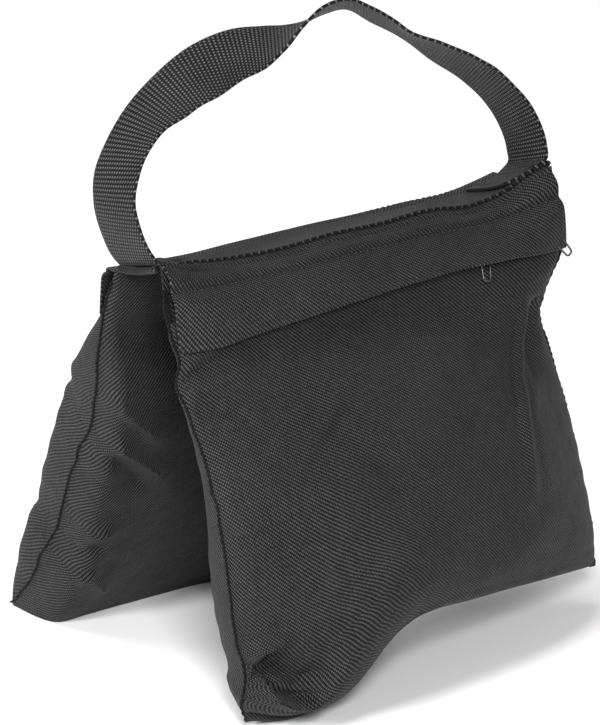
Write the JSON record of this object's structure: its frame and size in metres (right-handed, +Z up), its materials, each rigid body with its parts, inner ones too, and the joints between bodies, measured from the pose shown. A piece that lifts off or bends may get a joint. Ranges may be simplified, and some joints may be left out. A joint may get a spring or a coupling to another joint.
{
  "type": "saddle sandbag",
  "caption": "Saddle sandbag: two zipped, sand-filled pouches hung on a webbing strip, with a webbing carrying handle, to weight a stand",
  "frame": {"origin": "bottom centre of the whole bag's box, on the floor it stands on", "axes": "+Z up; X along the strip and the zips; the front pouch is on the -Y side and the rear pouch on the +Y side"},
  "size_m": [0.3034, 0.2722, 0.3859],
  "materials": {
    "cloth": "matte",
    "webbing": "matte",
    "thread": "matte",
    "tape": "matte",
    "coil": "satin",
    "slider": "satin",
    "sand": "matte"
  },
  "bodies": {
    "strip": {"centre_panel": "cloth", "strip_webbing": "webbing", "left_bar_tack_1": "thread", "left_bar_tack_2": "thread", "right_bar_tack_1": "thread", "right_bar_tack_2": "thread"},
    "handle": {"handle_webbing": "webbing"},
    "front_pouch": {"front_pouch_cloth": "cloth", "front_left_seam": "thread", "front_right_seam": "thread", "front_sand_fill": "sand", "front_zip_facing": "cloth", "front_flap_heading": "cloth", "front_zip_upper_tape": "tape", "front_zip_lower_tape": "tape", "front_zip_upper_coil": "coil", "front_zip_lower_coil": "coil", "front_zip_left_stop": "slider", "front_zip_right_stop": "slider"},
    "front_flap": {"front_flap": "cloth"},
    "front_slider_1": {"front_slider_1": "slider"},
    "front_pull_1": {"front_pull_1": "slider"},
    "front_slider_2": {"front_slider_2": "slider"},
    "front_pull_2": {"front_pull_2": "slider"},
    "rear_pouch": {"rear_pouch_cloth": "cloth", "rear_left_seam": "thread", "rear_right_seam": "thread", "rear_sand_fill": "sand", "rear_zip_facing": "cloth", "rear_flap_heading": "cloth", "rear_zip_upper_tape": "tape", "rear_zip_lower_tape": "tape", "rear_zip_upper_coil": "coil", "rear_zip_lower_coil": "coil", "rear_zip_left_stop": "slider", "rear_zip_right_stop": "slider"},
    "rear_flap": {"rear_flap": "cloth"},
    "rear_slider_1": {"rear_slider_1": "slider"},
    "rear_pull_1": {"rear_pull_1": "slider"},
    "rear_slider_2": {"rear_slider_2": "slider"},
    "rear_pull_2": {"rear_pull_2": "slider"}
  },
  "joints": [
    {"name": "handle_fold", "type": "hinge", "parent": "strip", "child": "handle", "pos_m": [0.00749, -0.00421, 0.2541], "axis": [1, 0, 0], "range_deg": [-30, 30]},
    {"name": "front_pouch_swing", "type": "hinge", "parent": "strip", "child": "front_pouch", "pos_m": [0.00749, -0.02621, 0.2515], "axis": [-1, 0, 0], "range_deg": [-8, 70]},
    {"name": "rear_pouch_swing", "type": "hinge", "parent": "strip", "child": "rear_pouch", "pos_m": [0.00749, 0.01778, 0.2515], "axis": [1, 0, 0], "range_deg": [-8, 65]},
    {"name": "front_flap_lift", "type": "hinge", "parent": "front_pouch", "child": "front_flap", "pos_m": [0.00749, -0.03447, 0.24165], "axis": [-1, 0, 0], "range_deg": [0, 48]},
    {"name": "rear_flap_lift", "type": "hinge", "parent": "rear_pouch", "child": "rear_flap", "pos_m": [0.00749, 0.02604, 0.24165], "axis": [1, 0, 0], "range_deg": [0, 48]},
    {"name": "front_slider_1_run", "type": "slide", "parent": "front_pouch", "child": "front_slider_1", "axis": [1, 0, 0], "range_m": [-0.203, 0.012]},
    {"name": "front_slider_2_run", "type": "slide", "parent": "front_pouch", "child": "front_slider_2", "axis": [1, 0, 0], "range_m": [-0.012, 0.003]},
    {"name": "rear_slider_1_run", "type": "slide", "parent": "rear_pouch", "child": "rear_slider_1", "axis": [1, 0, 0], "range_m": [-0.009, 0.212]},
    {"name": "rear_slider_2_run", "type": "slide", "parent": "rear_pouch", "child": "rear_slider_2", "axis": [1, 0, 0], "range_m": [-0.003, 0.009]},
    {"name": "front_pull_1_swing", "type": "hinge", "parent": "front_slider_1", "child": "front_pull_1", "pos_m": [0.08889, -0.03774, 0.23431], "axis": [0, -0.8988, 0.4384], "range_deg": [-70, 30]},
    {"name": "front_pull_2_swing", "type": "hinge", "parent": "front_slider_2", "child": "front_pull_2", "pos_m": [0.13159, -0.03774, 0.23431], "axis": [0, -0.8988, 0.4384], "range_deg": [-50, 5]},
    {"name": "rear_pull_1_swing", "type": "hinge", "parent": "rear_slider_1", "child": "rear_pull_1", "pos_m": [-0.08091, 0.02931, 0.23431], "axis": [0, -0.8988, -0.4384], "range_deg": [-28, 70]},
    {"name": "rear_pull_2_swing", "type": "hinge", "parent": "rear_slider_2", "child": "rear_pull_2", "pos_m": [-0.11661, 0.02931, 0.23431], "axis": [0, -0.8988, -0.4384], "range_deg": [-20, 28]}
  ]
}
